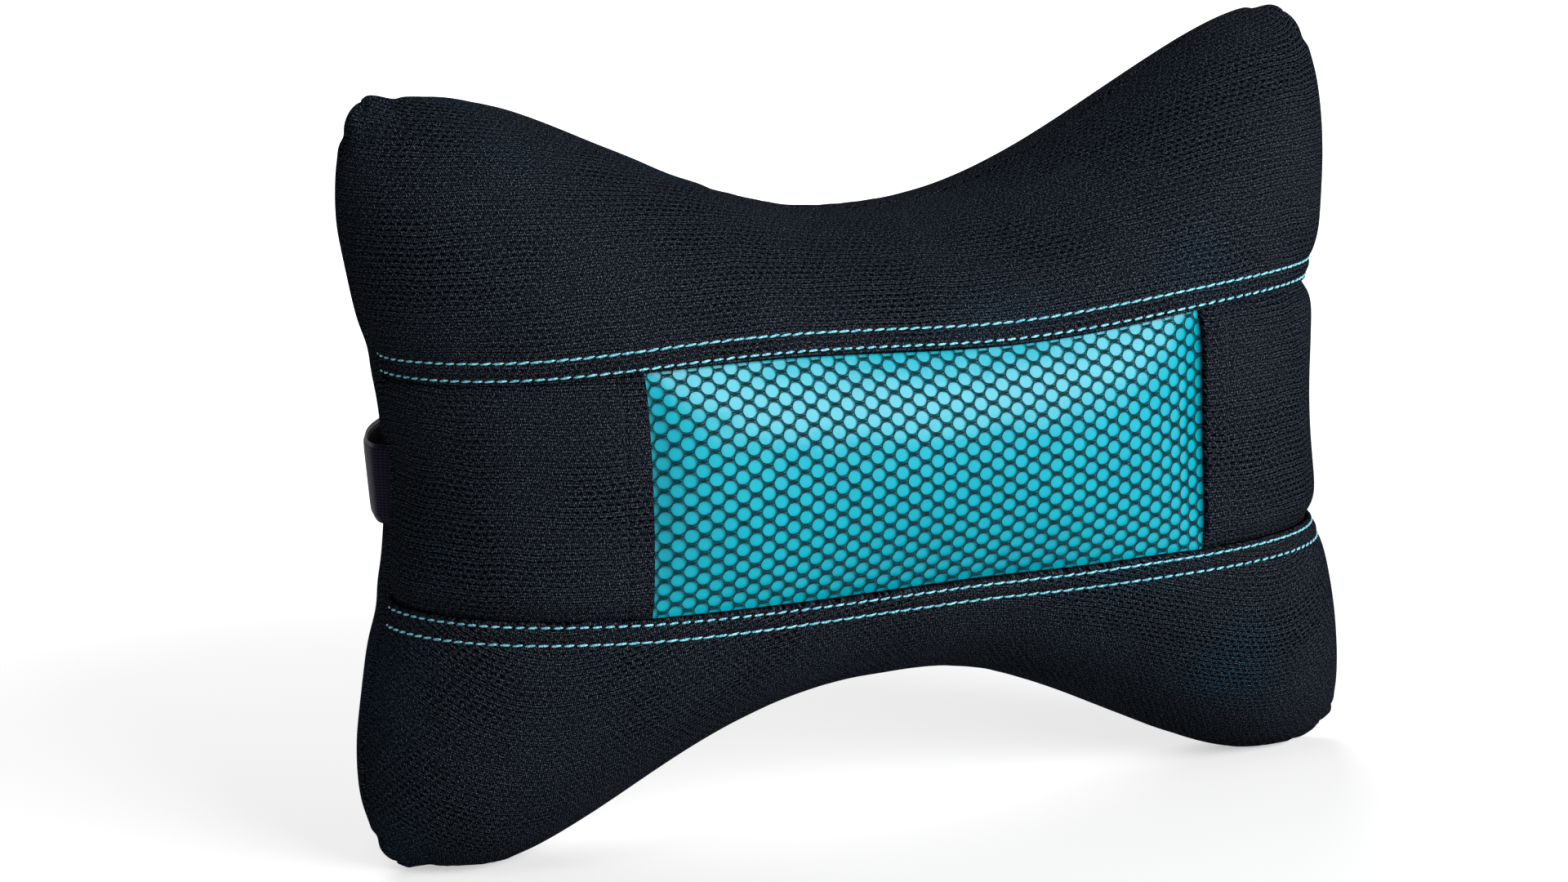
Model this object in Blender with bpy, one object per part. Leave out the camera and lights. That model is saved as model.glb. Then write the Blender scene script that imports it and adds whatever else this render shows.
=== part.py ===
"""A bone-shaped car neck pillow: a stuffed cushion with four lobes, a cover sewn from cut panels, a netted
insert across the middle of its front and an elastic strap behind, which goes round a headrest.

+Z is up, -Y is the front and +X is to the right when looking at the front. The pillow stands on the settled
undersides of its two lower lobes, and the origin is under the middle of its box.
"""

import math

import bpy
from mathutils import Vector

# The outline that the seam between front and back follows, in metres
WIDTH = 0.283  # before its corners are rounded off, which leaves 0.271
MID_HEIGHT = 0.0996  # from the floor to the line that lobes and valleys are measured from
LOBE_RISE = 0.1015  # from that line up to the crest of an upper lobe's outline
LOBE_DROP = 0.1110  # and down to the crest of a lower one, before it settles on the floor
VALLEY_DEPTH = 0.0449
VALLEY_HALF_WIDTH = 0.130
VALLEY_SHARPNESS = 1.16  # 1 is a plain smooth step, and more draws the bottom of the valley wider
WAIST = 0.0175  # how far each side pulls in between its lobes
CORNER_ROUNDING = 0.09
CORNER_SHARPNESS = 3.4

# The stuffed shape
THICKNESS = 0.1155
SIDE_FULLNESS = 3.5  # a higher power keeps the pillow thick nearer to its left and right seams
END_FULLNESS = 2.25  # the same towards its top and bottom seams

# The cover
COVER = 0.0024
CLEARANCE = 0.0003  # between pieces that touch
UPPER_FOLD = 0.0295  # folded edge of the upper panel, above the middle line
LOWER_FOLD = 0.0320  # folded edge of the lower panel, below it
INSERT_WIDTH = 0.155
INSERT_CENTRE = 0.0012
NET_DEPTH = 0.0006  # how far the net lies below the panels round it
NET = 0.0007
SHEET = 0.0008

# Sewing
THREAD = 0.0008
FIRST_ROW = 0.0011  # from a folded edge to the nearer row of its pair
ROW_SPACING = 0.0043
INSERT_ROW = 0.0067  # from the insert's edge to the dark row beside it
INSERT_ROW_END = 0.0012  # from a folded edge to the end of a dark row

# The headrest strap
STRAP_WIDTH = 0.020
STRAP = 0.0015
STRAP_SLACK = 0.0100  # how far it stands off the back at the middle
STRAP_CLEARANCE = 0.0008
STRAP_RISE = 0.6  # below 1, the slack begins close to the side seams
STRAP_STEPS = 40

# Facets
SIDE_STEPS = 9
INSERT_STEPS = 10
LOBE_STEPS = 8
OUTER_ROW_LEVEL = 1.08  # levels beyond a fold that its two stitch rows take
BAND_STEPS = 6

HALF_WIDTH = WIDTH / 2
OUTER_ROW = FIRST_ROW + ROW_SPACING
HALF_BAND = (UPPER_FOLD + LOWER_FOLD) / 2
FRONT, BACK = -1, 1


def mix(low, high, share):
    """A value part of the way from low to high."""
    return low + (high - low) * share


def ease(steps):
    """Shares from 0 to 1 that crowd towards 1, where the skin turns round to the seam."""
    return [math.sin(math.pi / 2 * step / steps) for step in range(steps + 1)]


def valley(x):
    """1 at the middle of a valley, falling smoothly to 0 on the lobes."""
    reach = min(abs(x) / VALLEY_HALF_WIDTH, 1) ** VALLEY_SHARPNESS
    return 1 - reach * reach * (3 - 2 * reach)


def outline_top(x, inset):
    return LOBE_RISE - VALLEY_DEPTH * valley(x) - inset


def outline_bottom(x, inset):
    return VALLEY_DEPTH * valley(x) - LOBE_DROP + inset


def outline_side(z, inset):
    reach = min(abs(z) / LOBE_RISE, 1)
    return HALF_WIDTH - WAIST * math.cos(math.pi / 2 * reach) ** 2 - inset


def place_across(across, z, inset):
    """x of a column, which is straight near the middle and follows the waist at the side seam."""
    side = outline_side(z, inset)
    return across * (HALF_WIDTH - inset) - math.copysign(HALF_WIDTH - inset - side, across) * across**4


def skin(across, z, inset, face):
    """A point of the stuffed shape, inset from its outside, at z above the middle line."""
    side = outline_side(z, inset)
    x = place_across(across, z, inset)
    end = outline_top(x, inset) if z > 0 else outline_bottom(x, inset)
    u = min(abs(x) / side, 1)
    v = min(z / end, 1)
    corner = 1 - CORNER_ROUNDING * (u * v) ** CORNER_SHARPNESS
    swell = math.sqrt(1 - u**SIDE_FULLNESS) * math.sqrt(1 - v**END_FULLNESS)
    y = face * (THICKNESS / 2 - inset) * swell
    floor = inset - MID_HEIGHT
    return Vector((x * corner, y, max(z * corner, floor) + MID_HEIGHT))


def level_height(across, level, inset):
    """z above the middle line.

    Levels -1 and 1 are the folded edges, which have the two stitch rows of each pair just beyond them, up to
    OUTER_ROW_LEVEL, and -2 and 2 are the bottom and top seams.
    """
    if -1 <= level <= 1:
        return mix(-LOWER_FOLD, UPPER_FOLD, (level + 1) / 2)
    fold = UPPER_FOLD if level > 0 else -LOWER_FOLD
    outer_row = fold + math.copysign(OUTER_ROW, level)
    if abs(level) <= OUTER_ROW_LEVEL:
        return mix(fold, outer_row, (abs(level) - 1) / (OUTER_ROW_LEVEL - 1))
    seam = outline_top if level > 0 else outline_bottom
    z = outer_row
    for _ in range(4):
        x = place_across(across, z, inset)
        z = mix(outer_row, seam(x, inset), (abs(level) - OUTER_ROW_LEVEL) / (2 - OUTER_ROW_LEVEL))
    return z


def grid_point(across, level, inset, face):
    return skin(across, level_height(across, level, inset), inset, face)


INSERT_LEFT = (INSERT_CENTRE - INSERT_WIDTH / 2) / HALF_WIDTH
INSERT_RIGHT = (INSERT_CENTRE + INSERT_WIDTH / 2) / HALF_WIDTH
LEFT_COLUMNS = [mix(INSERT_LEFT, -1, share) for share in reversed(ease(SIDE_STEPS))]
MIDDLE_COLUMNS = [mix(INSERT_LEFT, INSERT_RIGHT, step / INSERT_STEPS) for step in range(INSERT_STEPS + 1)]
RIGHT_COLUMNS = [mix(INSERT_RIGHT, 1, share) for share in ease(SIDE_STEPS)]
COLUMNS = LEFT_COLUMNS[:-1] + MIDDLE_COLUMNS + RIGHT_COLUMNS[1:]

INNER_ROW_LEVEL = mix(1, OUTER_ROW_LEVEL, FIRST_ROW / OUTER_ROW)
UPPER_LEVELS = [1, INNER_ROW_LEVEL, *[mix(OUTER_ROW_LEVEL, 2, share) for share in ease(LOBE_STEPS)]]
BAND_LEVELS = [mix(-1, 1, step / BAND_STEPS) for step in range(BAND_STEPS + 1)]
LOWER_LEVELS = [-level for level in reversed(UPPER_LEVELS)]
LEVELS = LOWER_LEVELS[:-1] + BAND_LEVELS + UPPER_LEVELS[1:]


def drawn_in(places, gap):
    """The same places, with the first and last moved in by a gap."""
    return [places[0] + gap, *places[1:-1], places[-1] - gap]


def material(name, colour, roughness):
    made = bpy.data.materials.new(name)
    made.use_nodes = True
    shader = made.node_tree.nodes["Principled BSDF"]
    shader.inputs["Base Color"].default_value = (*colour, 1)
    shader.inputs["Roughness"].default_value = roughness
    shader.inputs["Metallic"].default_value = 0
    made.diffuse_color = (*colour, 1)
    return made


def add_object(name, data, finish):
    data.materials.append(finish)
    made = bpy.data.objects.new(name, data)
    bpy.context.scene.collection.objects.link(made)
    made.parent = PILLOW
    return made


def add_mesh(name, points, faces, finish):
    mesh = bpy.data.meshes.new(name)
    mesh.from_pydata(points, [], faces)
    mesh.shade_smooth()
    return add_object(name, mesh, finish)


def grid_faces(columns, rows, start, outward):
    """Quads of a grid stored column by column, facing -Y unless turned. Each splits on the same diagonal."""
    faces = []
    for column in range(columns - 1):
        for row in range(rows - 1):
            here = start + column * rows + row
            corners = (here, here + rows, here + rows + 1, here + 1)
            faces.append(corners if outward else (corners[0], corners[3], corners[2], corners[1]))
    return faces


def rim(columns, rows):
    """Grid positions once round the edge: up the first column, along the last row, down and back."""
    up = [(0, row) for row in range(rows - 1)]
    along = [(column, rows - 1) for column in range(columns - 1)]
    down = [(columns - 1, row) for row in range(rows - 1, 0, -1)]
    back = [(column, 0) for column in range(columns - 1, 0, -1)]
    return up + along + down + back


def add_panel(name, columns, levels, face, depth, wall, finish):
    """A cut piece of cloth with its outside at a depth below the stuffed shape's outside.

    It stays half a clearance short of the plane of the side seam, where front and back meet.
    """
    aside = Vector((0, face * CLEARANCE / 2, 0))
    points = []
    for inset in (depth, depth + wall):
        points += [grid_point(a, level, inset, face) + aside for a in columns for level in levels]
    count, rows = len(columns), len(levels)
    inner = count * rows
    faces = grid_faces(count, rows, 0, face == FRONT) + grid_faces(count, rows, inner, face == BACK)
    edge = [column * rows + row for column, row in rim(count, rows)]
    for here, beyond in zip(edge, edge[1:] + edge[:1]):
        quad = (here, beyond, beyond + inner, here + inner)
        faces.append(quad if face == FRONT else quad[::-1])
    return add_mesh(name, points, faces, finish)


def add_filling(name, finish):
    """The fibre core, one closed body just inside the cover."""
    inset = COVER + CLEARANCE
    rows = len(LEVELS)
    points = [grid_point(a, level, inset, FRONT) for a in COLUMNS for level in LEVELS]
    faces = grid_faces(len(COLUMNS), rows, 0, True)
    seam = {column * rows + row for column, row in rim(len(COLUMNS), rows)}
    back = {}
    for index, (a, level) in enumerate([(a, level) for a in COLUMNS for level in LEVELS]):
        if index in seam:
            back[index] = index
        else:
            back[index] = len(points)
            points.append(grid_point(a, level, inset, BACK))
    for corners in grid_faces(len(COLUMNS), rows, 0, False):
        faces.append([back[index] for index in corners])
    return add_mesh(name, points, faces, finish)


def skin_normal(across, z):
    """The outward direction of the front at a point."""
    nearby = 0.0002
    share = nearby / HALF_WIDTH
    side = skin(across + share, z, 0, FRONT) - skin(across - share, z, 0, FRONT)
    up = skin(across, z + nearby, 0, FRONT) - skin(across, z - nearby, 0, FRONT)
    return side.cross(up).normalized()


def add_thread(name, places, finish):
    """A row of stitching as one round thread lying on the front, through (across, z) places."""
    curve = bpy.data.curves.new(name, "CURVE")
    curve.dimensions = "3D"
    curve.bevel_depth = THREAD / 2
    curve.bevel_resolution = 1
    curve.use_fill_caps = True
    line = curve.splines.new("POLY")
    line.points.add(len(places) - 1)
    for point, (across, z) in zip(line.points, places):
        point.co = (*(skin(across, z, 0, FRONT) + skin_normal(across, z) * (THREAD / 2 + CLEARANCE)), 1)
    return add_object(name, curve, finish)


def add_strap(name, finish):
    """Flat elastic from the left side seam round behind the back to the right one, standing slack."""
    half_turn = [math.sin(math.pi / 2 * mix(-1, 1, step / STRAP_STEPS)) for step in range(STRAP_STEPS + 1)]
    line = [skin(across, 0, 0, BACK) for across in half_turn]
    run = [0.0]
    for here, beyond in zip(line, line[1:]):
        run.append(run[-1] + (beyond - here).length)
    points = []
    for index, (point, reach) in enumerate(zip(line, run)):
        along = line[min(index + 1, STRAP_STEPS)] - line[max(index - 1, 0)]
        if index in (0, STRAP_STEPS):
            along = Vector((0, 1 if index == 0 else -1, 0))
        out = Vector((-along.y, along.x, 0)).normalized()
        stand = STRAP_CLEARANCE + STRAP_SLACK * math.sin(math.pi * (reach / run[-1])) ** STRAP_RISE
        for depth in (stand, stand + STRAP):
            for height in (-STRAP_WIDTH / 2, STRAP_WIDTH / 2):
                points.append(point + out * depth + Vector((0, 0, height)))
    inner_low, inner_high, outer_low, outer_high = range(4)
    turn = (inner_low, outer_low, outer_high, inner_high)
    faces = [turn[::-1], [4 * STRAP_STEPS + corner for corner in turn]]
    for step in range(STRAP_STEPS):
        for here, beyond in zip(turn, turn[1:] + turn[:1]):
            faces.append((4 * step + here, 4 * step + beyond, 4 * step + 4 + beyond, 4 * step + 4 + here))
    return add_mesh(name, points, faces, finish)


def add_cover():
    cloth = material("black_air_mesh", (0.012, 0.014, 0.019), 0.8)
    add_panel("back_panel", COLUMNS, LEVELS, BACK, 0, COVER, cloth)
    add_panel("upper_front_panel", COLUMNS, UPPER_LEVELS, FRONT, 0, COVER, cloth)
    add_panel("lower_front_panel", COLUMNS, LOWER_LEVELS, FRONT, 0, COVER, cloth)
    band = drawn_in(BAND_LEVELS, CLEARANCE / HALF_BAND)
    add_panel("left_side_panel", LEFT_COLUMNS, band, FRONT, 0, COVER, cloth)
    add_panel("right_side_panel", RIGHT_COLUMNS, band, FRONT, 0, COVER, cloth)


def add_insert():
    between = drawn_in(MIDDLE_COLUMNS, CLEARANCE / HALF_WIDTH)
    band = drawn_in(BAND_LEVELS, CLEARANCE / HALF_BAND)
    net = material("black_net", (0.010, 0.016, 0.020), 0.7)
    sheet = material("turquoise_sheet", (0.02, 0.48, 0.60), 0.5)
    add_panel("insert_net", between, band, FRONT, NET_DEPTH, NET, net)
    add_panel("insert_sheet", between, band, FRONT, NET_DEPTH + NET + CLEARANCE, SHEET, sheet)


def add_stitching():
    bright = material("turquoise_thread", (0.10, 0.62, 0.78), 0.5)
    dark = material("black_thread", (0.006, 0.007, 0.009), 0.7)
    rows = {
        "topstitch_upper_inner": UPPER_FOLD + FIRST_ROW,
        "topstitch_upper_outer": UPPER_FOLD + OUTER_ROW,
        "topstitch_lower_inner": -LOWER_FOLD - FIRST_ROW,
        "topstitch_lower_outer": -LOWER_FOLD - OUTER_ROW,
    }
    for name, z in rows.items():
        add_thread(name, [(across, z) for across in COLUMNS[1:-1]], bright)
    beside = INSERT_ROW / HALF_WIDTH
    heights = drawn_in([level_height(0, level, 0) for level in BAND_LEVELS], INSERT_ROW_END)
    add_thread("insert_stitch_left", [(INSERT_LEFT - beside, z) for z in heights], dark)
    add_thread("insert_stitch_right", [(INSERT_RIGHT + beside, z) for z in heights], dark)


def centre_on_origin():
    """Moves the whole pillow along Y so that the origin is under the middle of its box."""
    bpy.context.view_layer.update()
    graph = bpy.context.evaluated_depsgraph_get()
    depths = []
    for made in PILLOW.children:
        shape = made.evaluated_get(graph)
        depths += [vertex.co.y for vertex in shape.to_mesh().vertices]
        shape.to_mesh_clear()
    PILLOW.location.y = -(min(depths) + max(depths)) / 2


for old in list(bpy.data.objects):
    bpy.data.objects.remove(old, do_unlink=True)
PILLOW = bpy.data.objects.new("pillow", None)
bpy.context.scene.collection.objects.link(PILLOW)

add_filling("filling", material("polyester_fibre", (0.80, 0.80, 0.78), 0.9))
add_cover()
add_insert()
add_stitching()
add_strap("headrest_strap", material("black_elastic", (0.014, 0.013, 0.022), 0.6))
centre_on_origin()
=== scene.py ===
"""The looks of a bone-shaped car neck pillow: a stuffed cushion in a black air-mesh cover, with a turquoise
insert under black net, turquoise topstitching and an elastic strap behind.

Metres, +Z up, -Y the front. Left and right are as seen from the front. Sections follow the order in which the
pillow is made.
"""

import math

import bpy
import numpy as np
from mathutils import Matrix, Vector, noise


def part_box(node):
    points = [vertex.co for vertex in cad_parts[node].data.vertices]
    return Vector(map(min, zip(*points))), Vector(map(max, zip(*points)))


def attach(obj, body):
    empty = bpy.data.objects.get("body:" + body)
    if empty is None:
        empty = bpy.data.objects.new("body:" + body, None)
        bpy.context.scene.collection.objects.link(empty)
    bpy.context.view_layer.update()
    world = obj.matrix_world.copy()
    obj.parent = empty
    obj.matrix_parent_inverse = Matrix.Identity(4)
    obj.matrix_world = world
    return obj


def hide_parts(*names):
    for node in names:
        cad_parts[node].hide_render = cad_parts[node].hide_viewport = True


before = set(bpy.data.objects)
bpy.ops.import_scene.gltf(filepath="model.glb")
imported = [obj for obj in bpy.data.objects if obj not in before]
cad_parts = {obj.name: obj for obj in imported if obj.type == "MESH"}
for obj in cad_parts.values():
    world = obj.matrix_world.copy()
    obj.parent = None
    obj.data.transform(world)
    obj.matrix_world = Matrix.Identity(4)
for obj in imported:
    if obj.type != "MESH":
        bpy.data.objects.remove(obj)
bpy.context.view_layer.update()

# The filling
# Loose white polyester fibre, blown into the sewn cover, fills the four lobes and gives the pillow its shape.
# Nothing holds it but the cover. The outline and the swell of the stuffed shape are set here, and the cover
# further down follows them.

HALF_WIDTH = 0.1416  # before the corners are rounded off
MID_HEIGHT = 0.0996  # from the floor to the line that lobes and valleys are measured from
THICKNESS = 0.1154
SEAM_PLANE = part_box("back_panel")[0].y
SIDE_FULLNESS = {-1: 3.52, 1: 2.9}  # front and back: a higher power stays thick nearer to the side seams
END_FULLNESS = 2.23  # the same towards its top and bottom seams
WAIST_TAPER = 0.09  # the back flattens towards the waist's seams, and the lobes stay round
TAPER_REACH = 0.06
TOP_LOBES = 0.1016
TOP_LOBE_LEAN = 0.0006  # how much higher the right lobe is than the middle of the two
BOTTOM_LOBES = 0.1074
TOP_VALLEY = 0.0452
BOTTOM_VALLEY = 0.0447
TOP_VALLEY_SHIFT = 0.056  # how far the valley's lowest point lies right of the middle, in half widths
BOTTOM_VALLEY_SHIFT = 0.017
VALLEY_REACH = 0.915  # where a valley's flank meets the lobe, in half widths
VALLEY_SHARPNESS = 1.16
LOWER_LEFT_REACH = 0.86  # the lower left lobe has the steepest flank
LOWER_LEFT_SHARPNESS = 1.24
LEFT_WAIST = 0.0184
RIGHT_WAIST = 0.0163
WAIST_REACH = 0.103
SIDE_PULL = 0.0011  # the topstitching draws the side seams in where it ends
PULL_REACH = 0.0065
SIDE_DRAW = {"top left": 0.0914, "top right": 0.084, "bottom left": 0.100, "bottom right": 0.030}
END_DRAW = {"top left": 0.0914, "top right": 0.050, "bottom left": 0.0861, "bottom right": 0.0878}
DRAW_SHARPNESS = 3.42  # the stuffing draws the corners in by these shares, across and upwards
SIDE_EAR = {"top left": 0.008, "top right": 0.0, "bottom left": 0.0, "bottom right": 0.010}
END_EAR = {"top left": 0.055, "top right": 0.010, "bottom left": 0.004, "bottom right": 0.0}
EAR_REACH = 0.09  # the sewn corners stand out again as small flat ears
EAR_NOTCH = 0.007
NOTCH_PLACE, NOTCH_WIDTH = 0.10, 0.022
ROUNDNESS = {"top left": 34, "top right": 42, "bottom left": 70, "bottom right": 30}
ROUNDING_FADE, NOTCH_FADE = 8, 30  # powers that keep both to the corners
UPPER_FOLD = 0.0295  # from the middle line up to the fold of the upper panel
LOWER_FOLD = 0.0320
FOLD_WAVE = 0.0011  # the hand-guided seam wanders this far
WAVE_START, WAVE_LENGTH = 0.31, 0.95  # in half widths
UPPER_SWAY, UPPER_BEND = 0.0013, -0.0010
LOWER_TILT, LOWER_SWAY, LOWER_BEND = -0.0016, -0.0006, -0.0008
BETWEEN_ROWS = 0.003  # from a panel's fold to the middle of its two rows of topstitching
FRONT, BACK = -1, 1
FIBRE_GAP = 0.0050  # from the outside of the cover to the fibre
FIBRE_COLOURS = ((0, (0.62, 0.62, 0.60)), (1, (0.86, 0.86, 0.84)))


def bell(distance, width):
    return np.exp(-((distance / width) ** 2))


def valley(across, shift, left_reach=VALLEY_REACH, left_sharpness=VALLEY_SHARPNESS):
    """1 at the middle of a valley, falling smoothly to 0 on the lobes."""
    beside = across - shift * (1 - across**2)
    full = np.where(beside < 0, left_reach, VALLEY_REACH)
    reach = np.clip(np.abs(beside) / full, 0, 1) ** np.where(beside < 0, left_sharpness, VALLEY_SHARPNESS)
    return 1 - reach * reach * (3 - 2 * reach)


def outline(x, top):
    """Height over the middle line of the seam between front and back."""
    across = np.clip(x / HALF_WIDTH, -1, 1)
    if top:
        return TOP_LOBES + TOP_LOBE_LEAN * across - TOP_VALLEY * valley(across, TOP_VALLEY_SHIFT)
    low = valley(across, BOTTOM_VALLEY_SHIFT, LOWER_LEFT_REACH, LOWER_LEFT_SHARPNESS)
    return BOTTOM_VALLEY * low - BOTTOM_LOBES


def outline_side(z, left):
    share = np.cos(np.pi / 2 * np.clip(np.abs(z) / WAIST_REACH, 0, 1)) ** 2
    from_rows = np.minimum(np.abs(z - UPPER_FOLD - BETWEEN_ROWS), np.abs(z + LOWER_FOLD + BETWEEN_ROWS))
    waist = np.where(left, LEFT_WAIST, RIGHT_WAIST) * share
    return HALF_WIDTH - waist - SIDE_PULL * bell(from_rows, PULL_REACH)


def place_across(across, z):
    """x of a column of threads, straight near the middle and following the waist at the side seam."""
    return across * HALF_WIDTH - np.sign(across) * (HALF_WIDTH - outline_side(z, across < 0)) * across**4


def fold_height(across, top):
    """Height of a folded edge. Seams sewn by hand-guiding wander a little, and these are not straight."""
    bend = (35 * across**4 - 30 * across**2 + 3) / 8
    sway = (5 * across**3 - 3 * across) / 2
    if top:
        wave = FOLD_WAVE * np.cos(2 * np.pi * (across + WAVE_START) / WAVE_LENGTH)
        return UPPER_FOLD + UPPER_SWAY * sway + UPPER_BEND * bend + wave
    return -LOWER_FOLD + LOWER_TILT * across + LOWER_SWAY * sway + LOWER_BEND * bend


def level_height(across, level):
    """Height over the middle line. Levels -1 and 1 are the folded edges, -2 and 2 the bottom and top seams.

    It depends on x, which depends on it, and four rounds settle the two.
    """
    upper, lower = fold_height(across, True), fold_height(across, False)
    between = lower + (upper - lower) * (level + 1) / 2
    z = between
    for _ in range(4):
        x = place_across(across, z)
        high = upper + (outline(x, True) - upper) * (level - 1)
        low = lower + (outline(x, False) - lower) * (-level - 1)
        z = np.where(level > 1, high, np.where(level < -1, low, between))
    return z


def of_corner(values, left, top):
    upper = np.where(left, values["top left"], values["top right"])
    return np.where(top, upper, np.where(left, values["bottom left"], values["bottom right"]))


def stuffed(across, level, face):
    """Points of the outside of the stuffed shape, for every pair of a place across and a level."""
    across, level = np.broadcast_arrays(across[:, None], level[None, :])
    z = level_height(across, level)
    x = place_across(across, z)
    left = across < 0
    u = np.clip(np.abs(x) / outline_side(z, left), 0, 1)
    v = np.clip(np.where(z > 0, z / outline(x, True), z / outline(x, False)), 0, 1)
    ear = bell(1 - u * v, EAR_REACH)
    drawn = (u * v) ** DRAW_SHARPNESS
    power = of_corner(ROUNDNESS, left, z > 0)
    far = np.maximum(np.maximum(u, v), 0.5)
    rounded = 1 - far**ROUNDING_FADE * (1 - (1 + (np.minimum(u, v) / far) ** power) ** (-1 / power))
    notch = EAR_NOTCH * far**NOTCH_FADE * bell(1 - u * v - NOTCH_PLACE, NOTCH_WIDTH)
    side_share, end_share = (
        rounded * (1 - of_corner(draw, left, z > 0) * drawn + of_corner(stand, left, z > 0) * ear - notch)
        for draw, stand in ((SIDE_DRAW, SIDE_EAR), (END_DRAW, END_EAR))
    )
    taper = 0.5 + (WAIST_TAPER * bell(z, TAPER_REACH) if face == BACK else 0)
    swell = (1 - u ** SIDE_FULLNESS[face]) ** taper * np.sqrt(1 - v**END_FULLNESS)
    y = SEAM_PLANE + face * THICKNESS / 2 * swell
    height = MID_HEIGHT + np.maximum(z * end_share, -MID_HEIGHT)
    return np.stack([x * side_share, y, height], axis=-1)


CORNERS = stuffed(np.array([-1.0, 1.0]), np.array([-2.0, 2.0]), FRONT).reshape(-1, 3)


def grid_quads(columns, rows, start, outward):
    """Faces of a grid stored column by column, facing -Y unless turned."""
    column, row = np.meshgrid(np.arange(columns - 1), np.arange(rows - 1), indexing="ij")
    here = (start + column * rows + row).ravel()
    corners = [here, here + rows, here + rows + 1, here + 1]
    return np.stack(corners if outward else corners[::-1], axis=-1)


def rim(columns, rows):
    """Grid positions once round the edge."""
    up = list(range(rows - 1))
    along = [column * rows + rows - 1 for column in range(columns - 1)]
    down = [(columns - 1) * rows + row for row in range(rows - 1, 0, -1)]
    back = [column * rows for column in range(columns - 1, 0, -1)]
    return np.array(up + along + down + back)


def closed_shell(columns, rows):
    """A front and a back grid joined along their rim.

    Gives each point's stand-in on the rim, the points still in use, their new places and the faces.
    """
    count = columns * rows
    edge = rim(columns, rows)
    same = np.arange(2 * count)
    same[count + edge] = edge
    faces = same[np.concatenate([grid_quads(columns, rows, start, start == 0) for start in (0, count)])]
    kept = np.unique(faces)
    place = np.full(2 * count, -1)
    place[kept] = np.arange(len(kept))
    return same, kept, place, place[faces]


def in_scene(name, data):
    made = bpy.data.objects.new(name, data)
    bpy.context.scene.collection.objects.link(made)
    return made


def bare_object(name, points, faces, edges=()):
    """An object at the origin with its place in its mesh."""
    mesh = bpy.data.meshes.new(name)
    mesh.from_pydata(points.tolist(), [tuple(edge) for edge in edges], [tuple(face) for face in faces])
    mesh.shade_smooth()
    return in_scene(name, mesh)


def finished_piece(name, points, faces, finish, uv=None):
    """The same with its material. uv is one (u, v) in metres for each point."""
    made = bare_object(name, points, faces)
    mesh = made.data
    mesh.materials.append(finish)
    if uv is not None:
        corners = np.empty(len(mesh.loops), np.int32)
        mesh.loops.foreach_get("vertex_index", corners)
        mesh.uv_layers.new(name="cloth").data.foreach_set("uv", uv[corners].astype(np.float32).ravel())
    return made


def node_adder(tree):
    """A short way to add nodes to a tree. An input is given a value, or the socket that feeds it."""

    def add(kind, inputs=(), **settings):
        node = tree.nodes.new(kind)
        for name, value in settings.items():
            setattr(node, name, value)
        for socket, value in dict(inputs).items():
            if isinstance(value, bpy.types.NodeSocket):
                tree.links.new(value, node.inputs[socket])
            else:
                node.inputs[socket].default_value = value
        return node

    return add


class Finish:
    """A material with ways to add what fabric patterns are made of."""

    def __init__(self, name, **levels):
        self.material = bpy.data.materials.new(name)
        self.material.use_nodes = True
        self.tree = self.material.node_tree
        self.shader = self.tree.nodes["Principled BSDF"]
        for level, value in levels.items():
            self.shader.inputs[level.replace("_", " ")].default_value = value
        self.add = node_adder(self.tree)

    def place(self):
        return self.add("ShaderNodeTexCoord").outputs["Object"]

    def cloth(self):
        """Place on the flat cloth, in metres."""
        return self.add("ShaderNodeUVMap", uv_map="cloth").outputs["UV"]

    def split(self, vector):
        return self.add("ShaderNodeSeparateXYZ", {0: vector}).outputs

    def maths(self, operation, first, second=0.0, third=0.0):
        return self.add("ShaderNodeMath", {0: first, 1: second, 2: third}, operation=operation).outputs[0]

    def mottle(self, where, scale, detail, dimensions="3D", **more):
        inputs = {"Vector": where, "Scale": scale, "Detail": detail, **more}
        return self.add("ShaderNodeTexNoise", inputs, noise_dimensions=dimensions).outputs["Fac"]

    def ranged(self, value, from_low, from_high, low, high, kind="SMOOTHSTEP"):
        inputs = {"Value": value, "From Min": from_low, "From Max": from_high, "To Min": low, "To Max": high}
        return self.add("ShaderNodeMapRange", inputs, interpolation_type=kind).outputs["Result"]

    def ramp(self, value, *stops):
        """Colours at places along a value."""
        node = self.add("ShaderNodeValToRGB", {"Fac": value})
        for element, (position, colour) in zip(list(node.color_ramp.elements), stops):
            element.position, element.color = position, (*colour, 1)
        for position, colour in stops[2:]:
            node.color_ramp.elements.new(position).color = (*colour, 1)
        return node.outputs["Color"]

    def blend(self, share, first, second, kind="MIX"):
        inputs = {"Factor": share, "A": first, "B": (*second, 1)}
        return self.add("ShaderNodeMix", inputs, data_type="RGBA", blend_type=kind).outputs["Result"]

    def finished(self, colour, height, strength, distance):
        """The material with its colour and with its relief, whose height is at most a distance in metres."""
        bump = self.add("ShaderNodeBump", {"Strength": strength, "Distance": distance, "Height": height})
        self.tree.links.new(colour, self.shader.inputs["Base Color"])
        self.tree.links.new(bump.outputs["Normal"], self.shader.inputs["Normal"])
        return self.material


def fibre_finish():
    """White, matt, tangled."""
    fibre = Finish("polyester_fibre", Roughness=0.95, Sheen_Weight=0.3)
    tangle = fibre.mottle(fibre.place(), 900, 4, Distortion=2)
    return fibre.finished(fibre.ramp(tangle, *FIBRE_COLOURS), tangle, 0.6, 0.0006)


# The sewn cover before its details
# Four front panels, the insert and a back panel are sewn to each other and turned right side out, and the
# filling then blows the cloth up between its seams. A cloth simulation of the whole cover, held along every
# seam, does that.

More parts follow.
